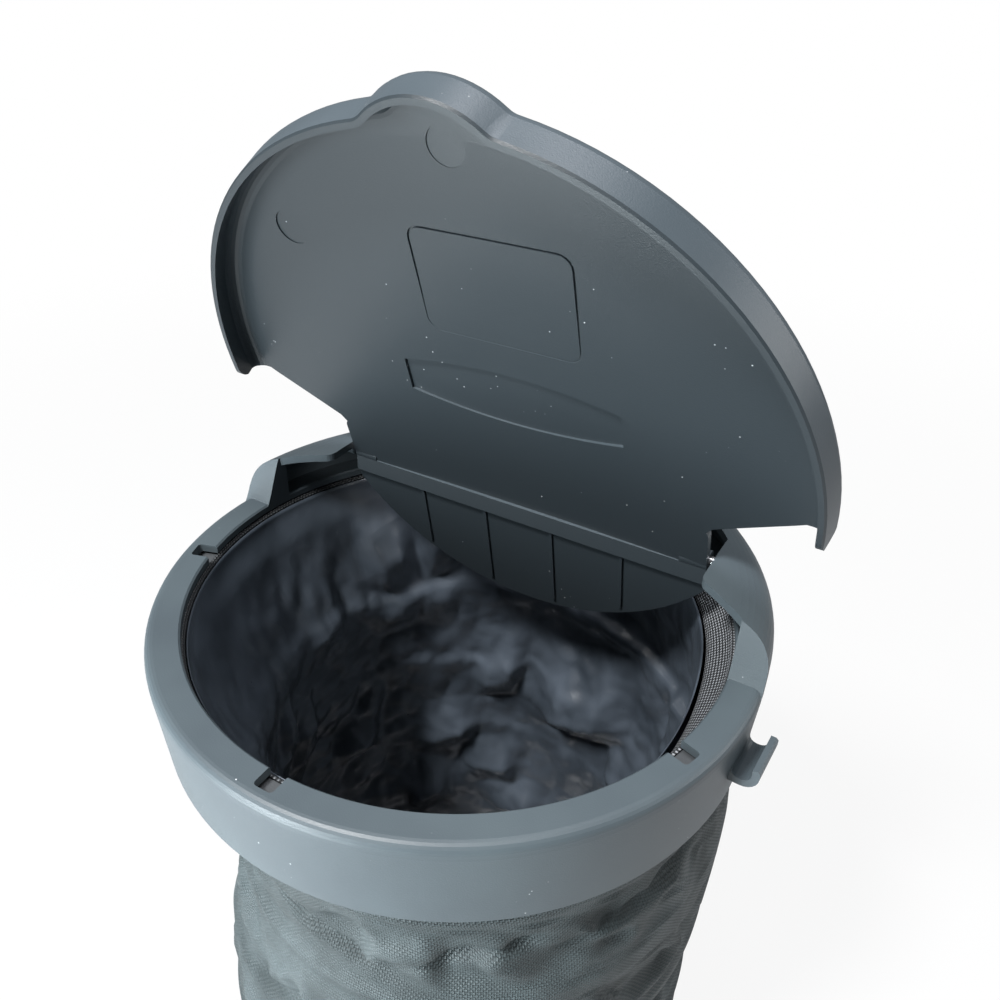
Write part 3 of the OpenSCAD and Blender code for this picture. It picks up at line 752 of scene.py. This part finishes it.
def dent_in(angle, height, wander):
    deepest = 0.0
    for turn, foot, half, tall, depth in dents:
        away = degrees_past(angle, turn) + wander * 3
        above = height / MM - foot + away * 0.25 + wander * 4
        side = 1 - abs(away) / half
        share = 1 - above / tall if above > 0 else 1 + above / 13
        if side > 0 and share > 0:
            deepest = max(deepest, depth * min(1, side * 1.9) * min(1, share))
    return deepest


def film_in(angle, height):
    """How far the film hangs in from its full radius, in millimetres."""
    free = soft_step(lining_high - height, 2 * MM, 26 * MM)
    free *= soft_step(height, 6 * MM, 22 * MM)
    spot = Vector((math.cos(angle) * 1.5, math.sin(angle) * 1.5, height * 17))
    wander = noise.noise(spot * 1.7 + Vector((0, 3.1, 0)))
    near, far = noise.voronoi(spot * 2.6)[0][:2]
    small, smaller = noise.voronoi(spot * 6.5 + Vector((2, 0, 5)))[0][:2]
    crackle = abs(noise.noise(spot * 5.1 + Vector((0, 0, 2.9))))
    soft = 2.6 * (far - near) + 1.0 * (smaller - small) + 1.2 * crackle
    gap = from_wire(angle, height) + wander * 3 * MM
    ledge = math.exp(-((gap / ((3.0 if gap > 0 else 10.0) * MM)) ** 2))
    strong = 0.3 + 0.7 * math.exp(-(((height - 138 * MM) / (16 * MM)) ** 2))
    ledge *= strong * (3.6 + 2.6 * wander)
    return free * (0.3 + soft + ledge + dent_in(angle, height, wander))


print("dents in the film:", len(dents))

# %% [markdown]
# ## The bag itself
# Floor and wall are one spun line, so the bag has no seam to open. The wall
# follows the rule for the film, and the floor is only rumpled.

# %% Lining bag
floor_line = [(lining_r * i / 24, lining_low) for i in range(24)]
bag = spun(floor_line + upright(lining_r, lining_low, lining_high, 140), 300)
lay_metres(bag, lining_r)
for vertex in bag.verts:
    out = vertex.co.xy.length
    if out > lining_r - 1e-5:
        angle = angle_of(vertex.co)
        radius = lining_r - film_in(angle, vertex.co.z) * MM
        raised = lift(angle) * soft_step(vertex.co.z, 150 * MM, lining_high)
        vertex.co.z += raised
        put_round(vertex, radius + 1.2 * MM * (raised / lift_most) ** 3, angle)
    else:
        spot = Vector((vertex.co.x * 26, vertex.co.y * 26, 5.5))
        rise = abs(noise.noise(spot)) * 4.0 + abs(noise.noise(spot * 2.7)) * 1.8
        vertex.co.z += rise * soft_step(lining_r - out, 0, 12 * MM) * MM
pull_in(bag, 55 * MM)
lean(bag)
lining = piece("lining_bag", bag, film, "lining", 0.2 * MM)
folds_down(lining)

# %% [markdown]
# ## Floor
# A plain pale floor that keeps the bin's shadow. To the camera it glows almost
# white, and more so with distance. In reflections it is a mid grey, because a
# white floor would wash out the dark plastic above it.

# %% Floor
ground = bmesh.new()
bmesh.ops.create_grid(ground, x_segments=1, y_segments=1, size=30)
data = bpy.data.meshes.new("floor")
ground.to_mesh(data)
ground.free()
floor = stand("floor", data)

pale = Finish("pale_floor")
pale.give(Base_Color=(0.42, 0.42, 0.42), Roughness=0.9)
white = pale.node("ShaderNodeEmission", {}, {"Color": (1, 1, 1), "Strength": 1.0})
plain = Value(pale, pale.shader.outputs[0])
away = pale.node("ShaderNodeVectorMath", {"operation": "LENGTH"}, [pale.place()], "Value")
share = pale.seen() * (0.89 + away.step(0.3, 1.0) * 0.11)
blend = pale.node("ShaderNodeMixShader", {}, [share, plain, white])
pale.put(pale.tree.nodes["Material Output"].inputs["Surface"], blend)
data.materials.append(pale.material)
print("floor laid")

# %% [markdown]
# ## Air
# A dim, slightly cold world fills the shadows. The camera itself sees a white
# backdrop, so the picture stays white above the horizon too.

# %% World
world = bpy.data.worlds.new("studio")
bpy.context.scene.world = world
world.use_nodes = True
studio = Graph(world.node_tree)
air = studio.tree.nodes["Background"]
studio.put(air.inputs["Color"], (0.94, 0.97, 1.0))
studio.put(air.inputs["Strength"], 0.23)
backdrop = studio.node("ShaderNodeBackground", {}, {"Color": (1, 1, 1)})
dim = Value(studio, air.outputs[0])
both = studio.node("ShaderNodeMixShader", {}, [studio.seen(), dim, backdrop])
studio.put(studio.tree.nodes["World Output"].inputs["Surface"], both)
print("world strength", air.inputs["Strength"].default_value)

# %% [markdown]
# ## Light
# The strongest light on the ring is low and near, as from a bright table. It
# fades up the ring's front and lights the lid's inner face at the left. A small
# high lamp draws the film's patches. The others only soften the shade.


# %% Lamps
def lamp(name, place, aim, size, power, colour=(1, 1, 1)):
    light = bpy.data.lights.new(name, "AREA")
    light.shape, light.size, light.energy, light.color = "DISK", size, power, colour
    made = stand(name, light)
    made.location = place
    made.rotation_euler = (Vector(aim) - Vector(place)).to_track_quat("-Z", "Y").to_euler()


middle = (0, 0, 0.19)
lamp("window", (-0.50, -1.15, 0.25), middle, 0.5, 17, (0.9, 0.97, 1))
lamp("sky", (0.1, 0.0, 1.25), middle, 0.45, 8, (0.95, 0.95, 1))
lamp("room", (-0.22, -0.6, 1.15), (0, 0.05, 0.12), 0.22, 30)
lamp("table glow", (-0.13, -0.41, 0.04), (0, 0, 0.2), 0.2, 4.5, (0.86, 0.96, 1))
lamp("far side", (0.95, 0.45, 0.6), (0, 0, 0.25), 0.6, 5)
bpy.context.scene.view_settings.view_transform = "Standard"
print("lamps lit")
